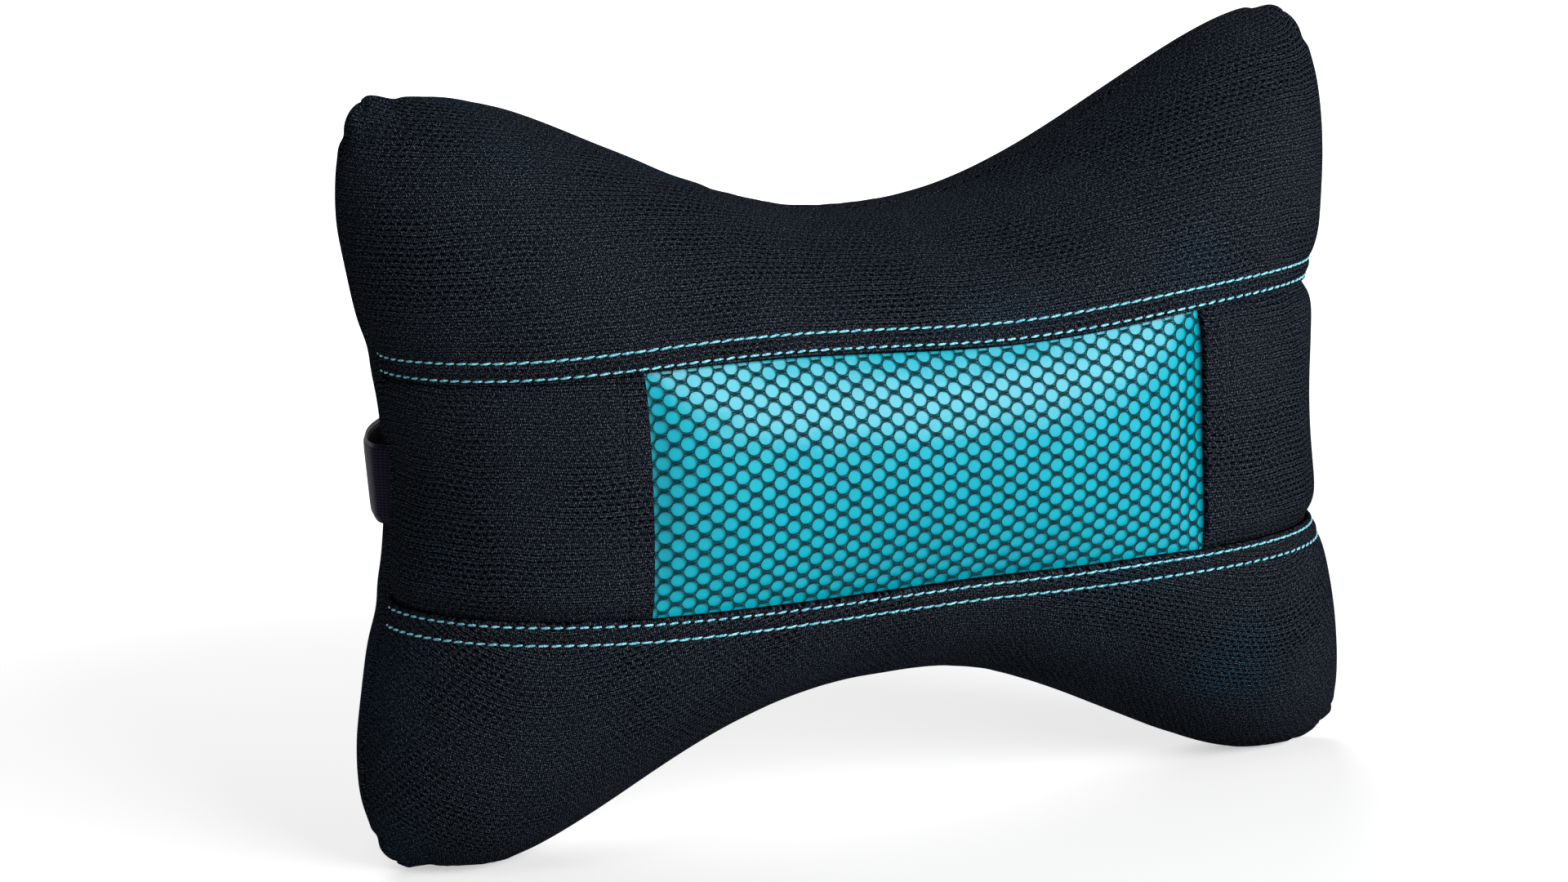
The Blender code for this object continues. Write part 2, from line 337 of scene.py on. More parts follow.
SIM_COLUMNS = 61
SIM_LOBE_ROWS = 13
SIM_BAND_ROWS = 9
BAND_KNOT = 0.28  # the band's share of a lobe's run, so that rows keep their spacing past the folds
SLACK = 0.0015  # the simulation starts this far inside the stuffed shape
PRESSURE = 200.0
STRETCH = 2.0  # how firmly the cloth resists being stretched
BENDING = 1.0
SIM_FRAMES = 20
MOST_MOVE = 0.0065
CORNER_REACH = 0.006  # this near to a corner, outward means away from the pillow's middle
EDGE_ROOM = 6  # power that keeps the start shape full until close to the seams
FILLING_COLUMNS, FILLING_ROWS = 90, 70
INSERT_LEFT = -0.0763  # x of the insert's two folded side edges
INSERT_RIGHT = 0.0786


def across_of(knot):
    """Place across for a column's knot: columns crowd where the skin turns round to the side seams."""
    return np.sin(np.pi / 2 * knot)


def knot_of(across):
    return 2 / np.pi * np.arcsin(across)


def level_of(knot):
    """Level for a row's knot, in the same way."""
    beyond = np.clip(np.abs(knot) - BAND_KNOT, 0, 1)
    on_lobe = np.sign(knot) * (1 + np.sin(np.pi / 2 * beyond))
    return np.where(np.abs(knot) <= BAND_KNOT, knot / BAND_KNOT, on_lobe)


def hermite(knots, values, places):
    """Values at places between knots along the first axis, with no kink at a knot."""
    slopes = np.gradient(values, knots, axis=0)
    low = np.clip(np.searchsorted(knots, places, side="right") - 1, 0, len(knots) - 2)
    span = (knots[low + 1] - knots[low])[:, None, None]
    t = (places - knots[low])[:, None, None] / span
    start = values[low] * (1 + 2 * t) * (1 - t) ** 2 + slopes[low] * span * t * (1 - t) ** 2
    end = values[low + 1] * t**2 * (3 - 2 * t) + slopes[low + 1] * span * t**2 * (t - 1)
    return start + end


def unit_length(vectors):
    return vectors / np.maximum(np.linalg.norm(vectors, axis=-1, keepdims=True), 1e-12)


def surface_normals(points, face):
    """Outward directions of a grid of points. At a pinched corner they point away from the middle."""
    along, up = (unit_length(np.gradient(points, axis=axis)) for axis in (0, 1))
    normal = unit_length(np.cross(along, up) * (1 if face == FRONT else -1))
    away = unit_length(points * (1, 0, 1) - (0, 0, MID_HEIGHT))
    to_corner = np.linalg.norm(points[..., None, :] - CORNERS, axis=-1).min(axis=-1)[..., None]
    near = bell(to_corner, CORNER_REACH)
    return unit_length((1 - near) * normal + near * away)


def blow_up(points, faces, held):
    """The points after the cloth has been blown up from inside with its held points in place."""
    cloth = bare_object("cover_cloth", points, faces)
    pins = cloth.vertex_groups.new(name="seams")
    pins.add([int(index) for index in held], 1.0, "REPLACE")
    settings = cloth.modifiers.new("Cloth", "CLOTH").settings
    settings.vertex_group_mass = "seams"
    settings.quality = 8
    settings.mass = 0.15
    settings.tension_stiffness = STRETCH
    settings.compression_stiffness = STRETCH
    settings.shear_stiffness = STRETCH / 3
    settings.bending_stiffness = BENDING
    settings.use_pressure = True
    settings.uniform_pressure_force = PRESSURE
    settings.effector_weights.gravity = 0
    scene = bpy.context.scene
    for step in range(1, SIM_FRAMES + 1):
        scene.frame_set(step)
    blown = cloth.evaluated_get(bpy.context.evaluated_depsgraph_get()).to_mesh()
    after = np.array([vertex.co for vertex in blown.vertices])
    scene.frame_set(1)
    bpy.data.objects.remove(cloth)
    return after


SIM_KNOTS = np.linspace(-1, 1, SIM_COLUMNS)
LOBE_KNOTS = np.linspace(BAND_KNOT, 1 + BAND_KNOT, SIM_LOBE_ROWS)
BAND_KNOTS = np.linspace(-BAND_KNOT, BAND_KNOT, SIM_BAND_ROWS)
ROW_KNOTS = np.concatenate([-LOBE_KNOTS[::-1], BAND_KNOTS[1:-1], LOBE_KNOTS])


def cover_movement():
    """How far each knot of the front and of the back moves as the cover is blown up, as two grids."""
    columns, rows = SIM_COLUMNS, len(ROW_KNOTS)
    room_across = 1 - np.abs(SIM_KNOTS) ** EDGE_ROOM
    lobe = np.clip(np.abs(ROW_KNOTS) - BAND_KNOT, 0, 1)
    front_room = np.where(lobe > 0, np.sin(np.pi * lobe) ** 0.5, 1 - (ROW_KNOTS / BAND_KNOT) ** 2)
    back_room = 1 - np.abs(ROW_KNOTS / ROW_KNOTS[-1]) ** EDGE_ROOM
    starts, smooths = [], []
    for face, room in ((FRONT, front_room), (BACK, back_room)):
        smooth = stuffed(across_of(SIM_KNOTS), level_of(ROW_KNOTS), face)
        inward = -surface_normals(smooth, face) * SLACK
        starts.append(smooth + inward * (room_across[:, None] * room[None, :])[..., None])
        smooths.append(smooth)
    points = np.concatenate(starts).reshape(-1, 3)
    same, kept, place, faces = closed_shell(columns, rows)
    held = np.zeros((columns, rows), bool)
    held[[0, -1], :] = True
    held[:, [0, -1]] = True
    held[:, np.isclose(np.abs(ROW_KNOTS), BAND_KNOT)] = True
    for x in (INSERT_LEFT, INSERT_RIGHT):
        beside = np.argmin(np.abs(across_of(SIM_KNOTS) * HALF_WIDTH - x))
        held[beside, np.abs(ROW_KNOTS) <= BAND_KNOT] = True
    moved = blow_up(points[kept], faces, place[np.flatnonzero(held)]) - points[kept]
    size = np.linalg.norm(moved, axis=1, keepdims=True)
    moved *= np.minimum(1, MOST_MOVE / np.maximum(size, 1e-9))
    final = (points[kept] + moved)[place[same]].reshape(2, columns, rows, 3)
    return [final[side] - smooths[side] for side in (0, 1)]


COVER_MOVEMENT = cover_movement()


def cover(column_knots, row_knots, face):
    """Points of the blown-up cover at any knots, before its details."""
    smooth = stuffed(across_of(column_knots), level_of(row_knots), face)
    moved = hermite(SIM_KNOTS, COVER_MOVEMENT[0 if face == FRONT else 1], column_knots)
    moved = hermite(ROW_KNOTS, moved.swapaxes(0, 1), row_knots).swapaxes(0, 1)
    points = smooth + moved
    points[..., 2] = np.maximum(points[..., 2], 0)
    return points


def filling_piece():
    columns = np.linspace(-1, 1, FILLING_COLUMNS)
    rows = np.linspace(-1 - BAND_KNOT, 1 + BAND_KNOT, FILLING_ROWS)
    sides = []
    for face in (FRONT, BACK):
        outside = cover(columns, rows, face)
        sides.append((outside - surface_normals(outside, face) * FIBRE_GAP).reshape(-1, 3))
    points = np.concatenate(sides)
    edge = rim(FILLING_COLUMNS, FILLING_ROWS)
    points[edge] = (sides[0][edge] + sides[1][edge]) / 2
    points[:, 2] = np.maximum(points[:, 2], FIBRE_GAP)
    _, kept, _, faces = closed_shell(FILLING_COLUMNS, FILLING_ROWS)
    return finished_piece("fibre_filling", points[kept], faces, fibre_finish())


filling = filling_piece()
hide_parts("filling")
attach(filling, "root")


# The black air mesh
# A knitted polyester cloth about 1.4 mm thick, with small slots in staggered rows that let air through. Every
# panel of the cover is cut from it.

CLOTH = 0.0014
SLOT_PITCH = 0.0023
SLOT_ROWS = 0.00155
SLOT_LENGTH = 0.0016
SLOT_HEIGHT = 0.00052
SLOT_LEAN = 0.25  # of a slot's pitch, for each row's height
SLOT_EDGE = (1.35, 0.55)  # from solid cloth to open, in half sizes of a slot
ROW_WANDER = 0.0016
WALE_PITCH = 0.00048
WALE_LEAN = 0.2
COURSE_PITCH = 0.00072
# Painted shade between the knit loops at the dark end, the yarn's own colour in the middle, painted glints at
# the bright end.
YARN_SHADE_AND_GLINT_COLOURS = (
    (0.38, (0.0012, 0.0016, 0.0024)),
    (0.62, (0.0180, 0.0225, 0.0310)),
    (0.76, (0.100, 0.120, 0.150)),
)
PAINTED_SHEEN_PATCHES = (0.80, 1.35, 1.60)  # painted bluish sheen in some places
# Painted shade: the slots are coloured near black where the holes go into the cloth.
SLOT_SHADE_COLOUR = (0.0002, 0.0003, 0.0005)
RIPPLE_KNOTS = 400


def air_mesh_finish():
    knit = Finish("black_air_mesh", Roughness=0.6, Specular_IOR_Level=0.0)
    maths, cloth = knit.maths, knit.cloth()
    u, across_rows, _ = knit.split(cloth)
    wander = knit.mottle(cloth, 60, 2, "2D")
    v = maths("ADD", across_rows, maths("MULTIPLY", maths("SUBTRACT", wander, 0.5), ROW_WANDER))
    row = maths("DIVIDE", v, SLOT_ROWS)
    stagger = maths("MULTIPLY", maths("FLOORED_MODULO", maths("FLOOR", row), 2.0), 0.5)
    column = maths("ADD", maths("DIVIDE", u, SLOT_PITCH), stagger)
    over = maths("SUBTRACT", maths("FRACT", row), 0.5)
    beside = maths("ADD", maths("SUBTRACT", maths("FRACT", column), 0.5), maths("MULTIPLY", over, SLOT_LEAN))
    wide = maths("MULTIPLY", beside, 2 * SLOT_PITCH / SLOT_LENGTH)
    tall = maths("MULTIPLY", over, 2 * SLOT_ROWS / SLOT_HEIGHT)
    reach = maths("SQRT", maths("ADD", maths("MULTIPLY", wide, wide), maths("MULTIPLY", tall, tall)))
    slot = knit.ranged(reach, *SLOT_EDGE, 0.0, 1.0)
    openness = knit.ranged(knit.mottle(cloth, 28, 2, "2D"), 0.35, 0.65, 0.45, 1.0, "LINEAR")
    gap = maths("MULTIPLY", slot, openness)
    leaning = maths("ADD", u, maths("MULTIPLY", v, WALE_LEAN))
    wale = maths("SINE", maths("MULTIPLY", leaning, 2 * math.pi / WALE_PITCH))
    course = maths("SINE", maths("MULTIPLY", v, 2 * math.pi / COURSE_PITCH))
    loops = maths("ADD", maths("MULTIPLY", wale, 0.5), maths("MULTIPLY", course, 0.3))
    fuzz = knit.mottle(cloth, 2400, 3, "2D")
    height = maths("ADD", maths("MULTIPLY", gap, -1.0), maths("MULTIPLY", loops, 0.35))
    height = maths("ADD", height, maths("MULTIPLY", fuzz, 0.6))
    # The yarn colour darkens in the troughs of the loops as painted shade and turns bright at the top of the
    # noise as painted glints.
    yarn_and_glints = knit.ramp(maths("ADD", maths("MULTIPLY", loops, 0.18), fuzz), *YARN_SHADE_AND_GLINT_COLOURS)
    # Painted sheen: slow bluish patches multiplied into the yarn colour, standing in for light on the cloth.
    patches = knit.ranged(knit.mottle(knit.place(), 14, 1, "4D", W=3.39), 0.50, 0.68, 0.0, 1.0)
    sheened = knit.blend(patches, yarn_and_glints, PAINTED_SHEEN_PATCHES, "MULTIPLY")
    return knit.finished(knit.blend(gap, sheened, SLOT_SHADE_COLOUR), height, 1.0, 0.00035)


AIR_MESH = air_mesh_finish()


def graded(length, fine_start, fine_end, coarse, blend=0.012):
    """Distances from 0 to a length, close together near the ends."""
    run = np.linspace(0, length, 4001)
    near_start = np.exp(-((run / blend) ** 2))
    near_end = np.exp(-(((length - run) / blend) ** 2))
    spacing = coarse + (fine_start - coarse) * near_start + (fine_end - coarse) * near_end
    count = np.concatenate([[0], np.cumsum(np.diff(run) / spacing[1:])])
    steps = max(2, round(count[-1]))
    return np.interp(np.linspace(0, count[-1], steps + 1), count, run)


def arc(points, axis):
    """Distance along the surface from the first point of each row or column."""
    steps = np.linalg.norm(np.diff(points, axis=axis), axis=-1)
    start = np.zeros_like(np.take(steps, [0], axis=axis))
    return np.concatenate([start, np.cumsum(steps, axis=axis)], axis=axis)


def ripple(along, wavelength, seed):
    """A smooth random wave between -1 and 1."""
    knots = np.random.default_rng(seed).uniform(-1, 1, RIPPLE_KNOTS)
    place = np.abs(along / wavelength) % (RIPPLE_KNOTS - 2)
    low = place.astype(int)
    share = place - low
    share = share * share * (3 - 2 * share)
    return knots[low] * (1 - share) + knots[low + 1] * share


def unevenness(points, size, seed):
    """Slow lumps of the stuffing under the cloth, between -1 and 1."""
    shift = Vector((seed * 7.3, seed * 3.1, seed * 5.7))
    flat = points.reshape(-1, 3)
    values = [noise.noise(Vector(point) / size + shift) for point in flat.tolist()]
    return np.array(values).reshape(points.shape[:-1])


def line_on_cloth(points, depth, distance, at, mirrored):
    """Points and outward directions along a panel, at a distance from its folded edge, which comes first."""
    normals = surface_normals(points, BACK if mirrored else FRONT)
    outside = points - normals * depth[..., None]
    line = np.empty((len(points), 2, 3))
    for index, run in enumerate(distance):
        for axis in range(3):
            line[index, 0, axis] = np.interp(at, run, outside[index, :, axis])
            line[index, 1, axis] = np.interp(at, run, normals[index, :, axis])
    return line[:, 0], unit_length(line[:, 1])


def cloth_panel(name, points, depth, face, finish, thickness=CLOTH):
    """A closed piece of cloth whose outside lies at a depth below a grid of points."""
    normals = surface_normals(points, face)
    outside = points - normals * depth[..., None]
    inside = outside - normals * thickness
    for side in (outside, inside):
        side[..., 2] = np.maximum(side[..., 2], 0 if side is outside else thickness / 2)
    columns, rows = points.shape[:2]
    count = columns * rows
    edge = rim(columns, rows)
    beyond = np.roll(edge, -1)
    walls = np.stack([edge, beyond, beyond + count, edge + count], axis=-1)
    if face == BACK:
        walls = walls[:, ::-1]
    faces = [grid_quads(columns, rows, start, (face == FRONT) == (start == 0)) for start in (0, count)]
    u = arc(points, 0)
    uv = np.stack([u - u[columns // 2], arc(points, 1)], axis=-1).reshape(-1, 2)
    every = np.concatenate([outside.reshape(-1, 3), inside.reshape(-1, 3)])
    return finished_piece(name, every, np.concatenate([*faces, walls]), finish, np.concatenate([uv, uv]))


# The back panel
# One cut piece of air mesh, from the bottom seam to the top one. It is sewn right sides together to the front
# along the whole edge, so only a thin pinched groove shows there.

SEAM_GROOVE = 0.0009
SEAM_PUCKER = 0.0007
PUCKER_PITCH = 0.0075
GROOVE_WIDTH = 0.0007
PUCKER_START, PUCKER_END = 0.0012, 0.007  # from the seam
SEAM_RADIUS = 0.13  # about how far the seam is from the pillow's middle
LUMPS = 0.0007
LUMP_SIZE = 0.035
LUMP_FADE = 0.02  # over this distance to a seam
BACK_COLUMNS, BACK_ROWS = 241, 171


def seam_details(points, from_seam, seed):
    """Depth below the smooth cover near the seam between front and back: a groove, and puckers beside it."""
    angle = np.arctan2(points[..., 2] - MID_HEIGHT, points[..., 0])
    pucker = ripple(angle * SEAM_RADIUS + 1, PUCKER_PITCH, seed)
    pucker = pucker * np.exp(-from_seam / PUCKER_END) * (1 - np.exp(-from_seam / PUCKER_START))
    return SEAM_GROOVE * np.exp(-from_seam / GROOVE_WIDTH) + SEAM_PUCKER * pucker


def lumps(points, from_seam, seed):
    return LUMPS * unevenness(points, LUMP_SIZE, seed) * np.clip(from_seam / LUMP_FADE, 0, 1)


def distance_from_ends(points, both_ways):
    """Distance along the surface to the nearest of the panel's seam edges."""
    u, v = arc(points, 0), arc(points, 1)
    side = np.minimum(u, u[-1:] - u)
    end = v[:, -1:] - v
    if both_ways:
        end = np.minimum(end, v)
    return np.minimum(side, end), v


def back_panel():
    columns = np.linspace(-1, 1, BACK_COLUMNS)
    rows = np.linspace(-1 - BAND_KNOT, 1 + BAND_KNOT, BACK_ROWS)
    points = cover(columns, rows, BACK)
    from_seam, _ = distance_from_ends(points, True)
    depth = seam_details(points, from_seam, 11) - lumps(points, from_seam, 1)
    return cloth_panel("back_cover_panel", points, depth, BACK, AIR_MESH)


back = back_panel()
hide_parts("back_panel")
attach(back, "root")


# The upper and lower front panels
# Two cut pieces of air mesh. Each has its inner edge folded under and laid over the middle band, and is held
# there by two rows of topstitching, which pinch the cloth and the padding under it.

FIRST_ROW = 0.0011  # from the folded edge to the nearer row
ROW_SPACING = 0.00436
STITCH_PITCH = 0.0032
ROW_DEPTH = 0.00055
INNER_WIDTH, OUTER_WIDTH = 0.0006, 0.0009
CHANNEL_PUFF = 0.00035
PUFF_WIDTH = 0.0013
WRINKLE = 0.00035
WRINKLE_PITCH = 0.0060
WRINKLE_START, WRINKLE_END = 0.0015, 0.007  # beyond the outer row
LOBE_RUN = 0.110  # metres of cloth for each unit of a lobe's row knot
LOBE_COLUMNS = 521
FOLD_SPACING, SEAM_SPACING, LOBE_SPACING = 0.00022, 0.0006, 0.0021  # between points, at and far from edges


def fold_roll(distance):
    """How far the rounded folded edge falls away from the outside of the panel."""
    radius = CLOTH / 2
    inside = np.clip(1 - distance / radius, 0, 1)
    return radius * (1 - np.sqrt(1 - inside**2))


def stitch_pull(along):
    """Deepest once in each stitch."""
    return 0.75 + 0.25 * np.cos(2 * np.pi * along / STITCH_PITCH)


TOPSTITCH_LINES = {}


def lobe_panel(name, top, seed):
    columns = np.linspace(-1, 1, LOBE_COLUMNS)
    run = graded(LOBE_RUN, FOLD_SPACING, SEAM_SPACING, LOBE_SPACING)
    rows = BAND_KNOT + run / LOBE_RUN
    rows = rows if top else -rows[::-1]
    points = cover(columns, rows, FRONT)
    turned = points if top else points[:, ::-1]
    from_seam, from_fold = distance_from_ends(turned, False)
    along = arc(turned, 0)
    outer_row = FIRST_ROW + ROW_SPACING
    depth = fold_roll(from_fold)
    rows_dent = bell(from_fold - FIRST_ROW, INNER_WIDTH) + bell(from_fold - outer_row, OUTER_WIDTH)
    depth = depth + ROW_DEPTH * stitch_pull(along) * rows_dent
    depth = depth - CHANNEL_PUFF * bell(from_fold - (FIRST_ROW + outer_row) / 2, PUFF_WIDTH)
    beyond = np.clip(from_fold - outer_row, 0, None)
    wrinkle = ripple(along[:, :1], WRINKLE_PITCH, seed) * np.exp(-beyond / WRINKLE_END)
    depth = depth - WRINKLE * (wrinkle * (1 - np.exp(-beyond / WRINKLE_START)))
    depth = depth + seam_details(turned, from_seam, seed + 1) - lumps(turned, from_seam, seed)
    place = "upper" if top else "lower"
    for row, at in (("inner", FIRST_ROW), ("outer", outer_row)):
        TOPSTITCH_LINES[f"topstitch_{place}_{row}"] = line_on_cloth(turned, depth, from_fold, at, not top)
    depth = depth if top else depth[:, ::-1]
    return cloth_panel(name, points, depth, FRONT, AIR_MESH)


for name, node, top, seed, flat, area in (
    ("upper_front_cover_panel", "upper_front_panel", True, 21, (0.340, 0.105), 0.0230),
    ("lower_front_cover_panel", "lower_front_panel", False, 31, (0.340, 0.110), 0.0240),
):
    lobes = lobe_panel(name, top, seed)
    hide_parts(node)
    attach(lobes, "root")


# The side panels
# A cut piece of air mesh on each side of the insert. Its edge beside the insert is folded under and
# topstitched with black thread, and its top and bottom edges run under the upper and lower panels.

TUCK = 0.0016  # how far the band dips to pass under the folded edges
TUCK_REACH = 0.0030
SIDE_ROW = 0.0067  # from the insert's edge to the black row
SIDE_ROW_DEPTH = 0.0007
SIDE_ROW_WIDTH = 0.0010
SIDE_RUN = 0.20  # metres of cloth for each unit of a column's knot
SIDE_SPACING = 0.0011
BAND_SPACING = 0.0009
SIDE_BLEND = 0.06  # of a unit: how soon the spacing grows from the edges


INSERT_STITCH_LINES = {}


def side_panel(name, left, seed):
    edge = knot_of((INSERT_LEFT if left else INSERT_RIGHT) / HALF_WIDTH)
    reach = 1 - abs(edge)
    run = graded(reach, *(gap / SIDE_RUN for gap in (FOLD_SPACING, SEAM_SPACING, SIDE_SPACING)), SIDE_BLEND)
    columns = edge - run[::-1] if left else edge + run
    steps = round((UPPER_FOLD + LOWER_FOLD) / BAND_SPACING)
    points = cover(columns, np.linspace(-BAND_KNOT, BAND_KNOT, steps + 1), FRONT)
    u = arc(points, 0)
    from_insert = u[-1:] - u if left else u
    from_seam = u if left else u[-1:] - u
    along = arc(points, 1)
    under_folds = bell(np.minimum(along, along[:, -1:] - along), TUCK_REACH)
    depth = fold_roll(from_insert) + TUCK * under_folds
    depth = depth + SIDE_ROW_DEPTH * stitch_pull(along) * bell(from_insert - SIDE_ROW, SIDE_ROW_WIDTH)
    depth = depth + seam_details(points, from_seam, seed) - lumps(points, from_seam, seed)
    order = slice(None, None, -1 if left else 1)
    grids = [grid[order].swapaxes(0, 1) for grid in (points, depth, from_insert)]
    node = "insert_stitch_left" if left else "insert_stitch_right"
    INSERT_STITCH_LINES[node] = line_on_cloth(*grids, SIDE_ROW, not left)
    return cloth_panel(name, points, depth, FRONT, AIR_MESH)


for name, node, left, seed in (
    ("left_side_cover_panel", "left_side_panel", True, 41),
    ("right_side_cover_panel", "right_side_panel", False, 51),
):
    side = side_panel(name, left, seed)
    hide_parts(node)
    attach(side, "root")


# The insert sheet
# A smooth turquoise coated sheet behind the net. It is caught in the same seams as the net, so it runs on
# under the folded edges of the panels round it.

SHEET = 0.0005
SHEET_DEPTH = 0.0026  # below the smooth cover
UNDER_FOLDS = 0.0070  # how far the sheet and the net run on under the panels
SHEET_COLOURS = ((0.3, (0.000, 0.325, 0.425)), (0.7, (0.001, 0.365, 0.465)))
SHEET_SPACING = 0.0009  # between its points
SHEET_CRINKLE = 0.00012
CRINKLE_SIZE = 0.006


def insert_ground(depth, spacing):
    """Points at a depth under the insert's opening and on under the panels round it, and their distances."""
    reach = knot_of(np.array([INSERT_LEFT - UNDER_FOLDS, INSERT_RIGHT + UNDER_FOLDS]) / HALF_WIDTH)
    columns = np.linspace(*reach, round((INSERT_RIGHT - INSERT_LEFT) / spacing) + 1)
    last = BAND_KNOT + UNDER_FOLDS / LOBE_RUN
    rows = np.linspace(-last, last, round((UPPER_FOLD + LOWER_FOLD) / spacing) + 1)
    smooth = cover(columns, rows, FRONT)
    return smooth - surface_normals(smooth, FRONT) * depth


def turquoise_finish():
    coating = Finish("turquoise_sheet", Roughness=0.27, Specular_IOR_Level=0.24)
    place = coating.place()
    tint = coating.ramp(coating.mottle(place, 30, 2), *SHEET_COLOURS)
    return coating.finished(tint, coating.mottle(place, 1300, 3), 0.35, 0.0001)


ground = insert_ground(SHEET_DEPTH, SHEET_SPACING)
crinkle = SHEET_CRINKLE * unevenness(ground, CRINKLE_SIZE, 3)
sheet = cloth_panel("turquoise_insert_sheet", ground, crinkle, FRONT, turquoise_finish(), SHEET)
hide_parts("insert_sheet")
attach(sheet, "root")


# The insert net
# A warp-knitted black net with round holes. Each hole is ringed by one thread, and twisted loops fill the
# spaces between neighbouring holes on the left and right.

HOLE_COLUMNS = 0.0065  # between holes of one row
HOLE_ROWS = 0.0044  # between rows of one column, with the columns between half a row up
RING_WIDTH = 0.0041
RING_HEIGHT = 0.0036
RING_CORNERS = 0.025  # how far each ring leans to a hexagon
RING_THREAD = 0.00032
LOOP_THREAD = 0.00034
LOOP_LENGTH = 0.0025
LOOP_TURNS = 2.3  # the twist of each loop over its length
LOOP_SWAY, LOOP_LIFT = 0.00034, 0.00014
LOOP_RISE = 0.00006  # the loops' middle over the rings'
LOOP_TAPER = 1.15  # 1 would let the loops' ends meet
NET_DEPTH = 0.0021
NET_SPACING = 0.0020  # between points of the ground that the net follows
RING_STEPS, RING_SIDES = 14, 4
LOOP_STEPS, LOOP_SIDES = 8, 3


def tube(line, radius, sides, closed, start):
    """Points and faces of a round thread along a line, either joined to its start or with its ends closed."""
    if closed:
        along = np.roll(line, -1, axis=0) - np.roll(line, 1, axis=0)
    else:
        along = np.gradient(line, axis=0)
    along = unit_length(along)
    aside = unit_length(np.cross(along, (0, 0, 1.0)))
    above = np.cross(aside, along)
    turn = (2 * np.pi * (np.arange(sides) + 0.5) / sides)[None, :, None]
    points = line[:, None] + radius * (aside[:, None] * np.cos(turn) + above[:, None] * np.sin(turn))
    count = len(line)
    faces = []
    for step in range(count if closed else count - 1):
        after = (step + 1) % count
        for side in range(sides):
            beside = (side + 1) % sides
            corners = ((step, side), (step, beside), (after, beside), (after, side))
            faces.append([start + a * sides + b for a, b in corners])
    if not closed:
        faces.append([start + side for side in reversed(range(sides))])
        faces.append([start + (count - 1) * sides + side for side in range(sides)])
    return points.reshape(-1, 3), faces


def net_unit():
    """One ring and the loops on its right, as a small flat mesh."""
    turn = 2 * np.pi * np.arange(RING_STEPS) / RING_STEPS
    reach = 1 + RING_CORNERS * np.cos(6 * turn)
    ring = np.stack([RING_WIDTH / 2 * np.cos(turn), RING_HEIGHT / 2 * np.sin(turn), 0 * turn], axis=-1)
    ring = ring * reach[:, None]
    points, faces = tube(ring, RING_THREAD / 2, RING_SIDES, True, 0)
    share = np.linspace(-1, 1, LOOP_STEPS)
    for turned in (0, 1, 2):
        phase = LOOP_TURNS * np.pi * share + 2 * np.pi / 3 * turned
        sway = LOOP_SWAY * np.cos(phase) * (LOOP_TAPER - np.abs(share))
        lift = LOOP_LIFT * np.sin(phase) + LOOP_RISE
        loop = np.stack([HOLE_COLUMNS / 2 + LOOP_LENGTH / 2 * share, sway, lift], axis=-1)
        more, quads = tube(loop, LOOP_THREAD / 2, LOOP_SIDES, False, len(points))
        points = np.concatenate([points, more])
        faces += quads
    return points, faces


def thread_finish(name, dark, bright, roughness, sheen):
    """Twisted thread: fine plies from dark to bright."""
    thread = Finish(name, Roughness=roughness, Specular_IOR_Level=0.15, Sheen_Weight=sheen)
    plies = thread.mottle(thread.place(), 2200, 2)
    return thread.finished(thread.ramp(plies, (0.35, dark), (0.68, bright)), plies, 0.5, 0.0001)


def node_group(name, inputs):
    """A new Geometry Nodes tree, its named inputs' identifiers and sockets, and a way to add nodes."""
    tree = bpy.data.node_groups.new(name, "GeometryNodeTree")
    tree.interface.new_socket("Geometry", in_out="OUTPUT", socket_type="NodeSocketGeometry")
    tree.interface.new_socket("Geometry", in_out="INPUT", socket_type="NodeSocketGeometry")
    identifiers = {}
    for title, kind in inputs.items():
        identifiers[title] = tree.interface.new_socket(title, in_out="INPUT", socket_type=kind).identifier
    add = node_adder(tree)
    return tree, identifiers, add("NodeGroupInput").outputs, add


def made_real(add, placed, material):
    """Ends a tree: its instances become a real mesh of one material."""
    real = add("GeometryNodeRealizeInstances", {"Geometry": placed}).outputs["Geometry"]
    finish = add("GeometryNodeSetMaterial", {"Geometry": real, "Material": material})
    add("NodeGroupOutput", {"Geometry": finish.outputs["Geometry"]})


def grown(base, tree, values, name):
    """The plain mesh that a tree makes from a base object, as a finished piece."""
    modifier = base.modifiers.new("grow", "NODES")
    modifier.node_group = tree
    for identifier, value in values.items():
        modifier[identifier] = value
    bpy.context.view_layer.update()
    graph = bpy.context.evaluated_depsgraph_get()
    mesh = bpy.data.meshes.new_from_object(base.evaluated_get(graph))
    mesh.name = name
    base.modifiers.remove(modifier)
    made = in_scene(name, mesh)
    bpy.data.objects.remove(base)
    return made


